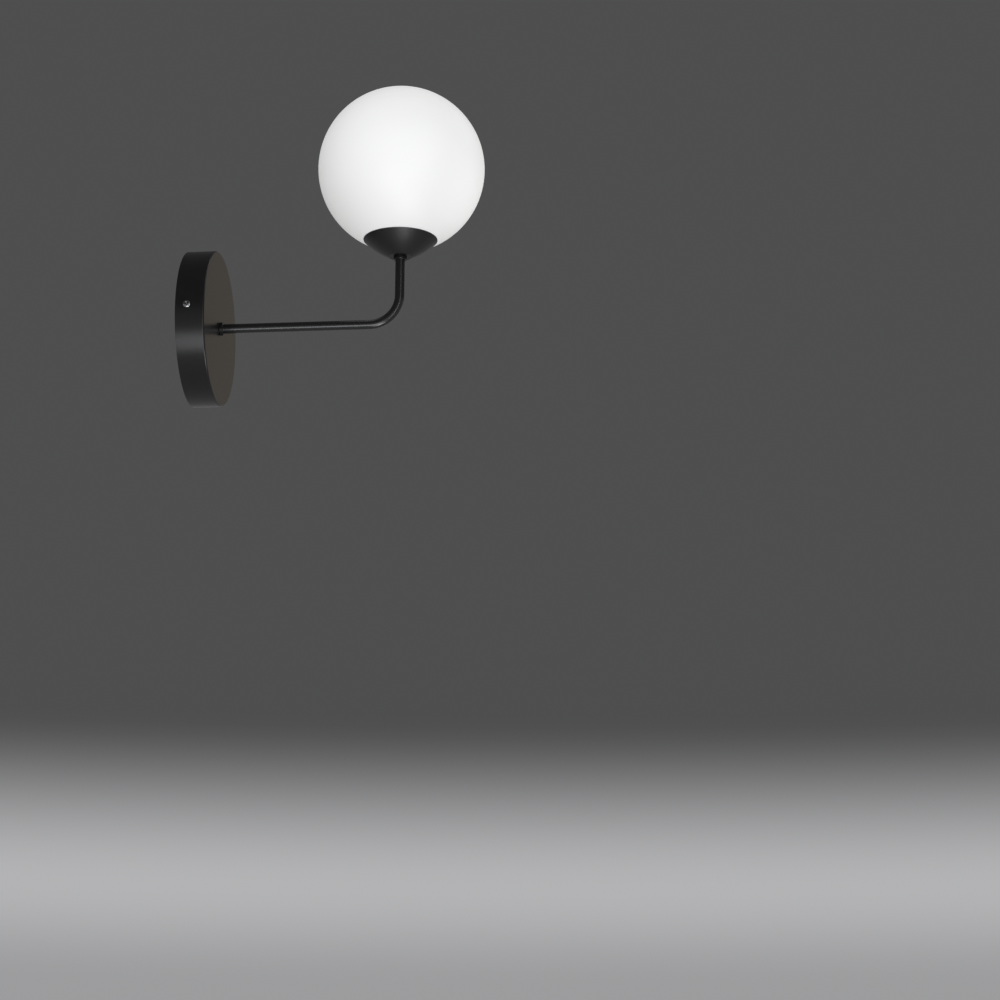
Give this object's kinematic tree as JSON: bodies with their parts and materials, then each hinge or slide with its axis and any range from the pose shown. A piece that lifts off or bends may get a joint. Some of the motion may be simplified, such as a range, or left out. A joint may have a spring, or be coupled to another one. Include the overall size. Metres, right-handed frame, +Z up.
{
  "type": "globe wall sconce",
  "caption": "Wall light with a round black wall cup, a thin tube bent up through one elbow, and a shallow dish that holds an opal glass globe.",
  "frame": {"origin": "wall plane at the centre of the wall cup, on the level axis of the tube", "axes": "+X out from the wall along the tube, +Z up through the globe"},
  "size_m": [0.245, 0.14, 0.272],
  "materials": {
    "opal_glass": "satin",
    "black_coat": "satin",
    "zinc_screw": "satin",
    "zinc_sheet": "satin",
    "spring_steel": "satin",
    "brass": "satin",
    "clear_silicone": "satin",
    "block_plastic": "satin",
    "bush_plastic": "matte",
    "holder_plastic": "satin",
    "carrier_ceramic": "satin",
    "wire_live": "satin",
    "wire_neutral": "satin",
    "wire_earth": "satin",
    "bulb_nickel": "polished",
    "bulb_black_glass": "gloss",
    "bulb_housing": "satin",
    "bulb_frosted": "satin"
  },
  "bodies": {
    "root": {"canopy": "black_coat", "canopy_screws": "zinc_screw", "wall_bracket": "zinc_sheet", "arm_tube": "black_coat", "arm_collar": "black_coat", "arm_washer": "zinc_sheet", "arm_nut": "zinc_sheet", "tube_bushes": "bush_plastic", "dish_collar": "black_coat", "globe_dish": "black_coat", "globe_springs": "spring_steel", "dish_washer": "zinc_sheet", "dish_nut": "zinc_sheet", "lampholder_cap": "holder_plastic", "lampholder_body": "holder_plastic", "holder_grub_screw": "zinc_screw", "contact_carrier": "carrier_ceramic", "holder_terminals": "brass", "holder_terminal_screws": "zinc_screw", "lampholder_shell": "brass", "centre_contact": "brass", "terminal_block": "block_plastic", "terminal_inserts": "brass", "terminal_screws": "zinc_screw", "block_screws": "zinc_screw", "earth_screw": "brass", "earth_washer": "zinc_sheet", "earth_ring": "zinc_sheet", "earth_wire": "wire_earth", "live_wire": "wire_live", "neutral_wire": "wire_neutral"},
    "globe": {"globe": "opal_glass", "globe_grommet": "clear_silicone"},
    "bulb_carrier": {"bulb_tip": "zinc_sheet"},
    "bulb": {"bulb_insulator": "bulb_black_glass", "bulb_cap": "bulb_nickel", "bulb_housing": "bulb_housing", "bulb_envelope": "bulb_frosted"}
  },
  "joints": [
    {"name": "globe_lift", "type": "slide", "parent": "root", "child": "globe", "axis": [0, 0, 1], "range_m": [0, 0.12], "deforming": ["globe_springs"]},
    {"name": "bulb_rise", "type": "slide", "parent": "root", "child": "bulb_carrier", "axis": [0, 0, 1], "range_m": [0, 0.0142]},
    {"name": "bulb_turn", "type": "hinge", "parent": "bulb_carrier", "child": "bulb", "pos_m": [0.175, 0, 0.086], "axis": [0, 0, 1], "range_deg": [0, 1800]}
  ],
  "couplings": [
    {"joint": "bulb_rise", "follows": "bulb_turn", "m_per_rad": 0.00044882}
  ]
}
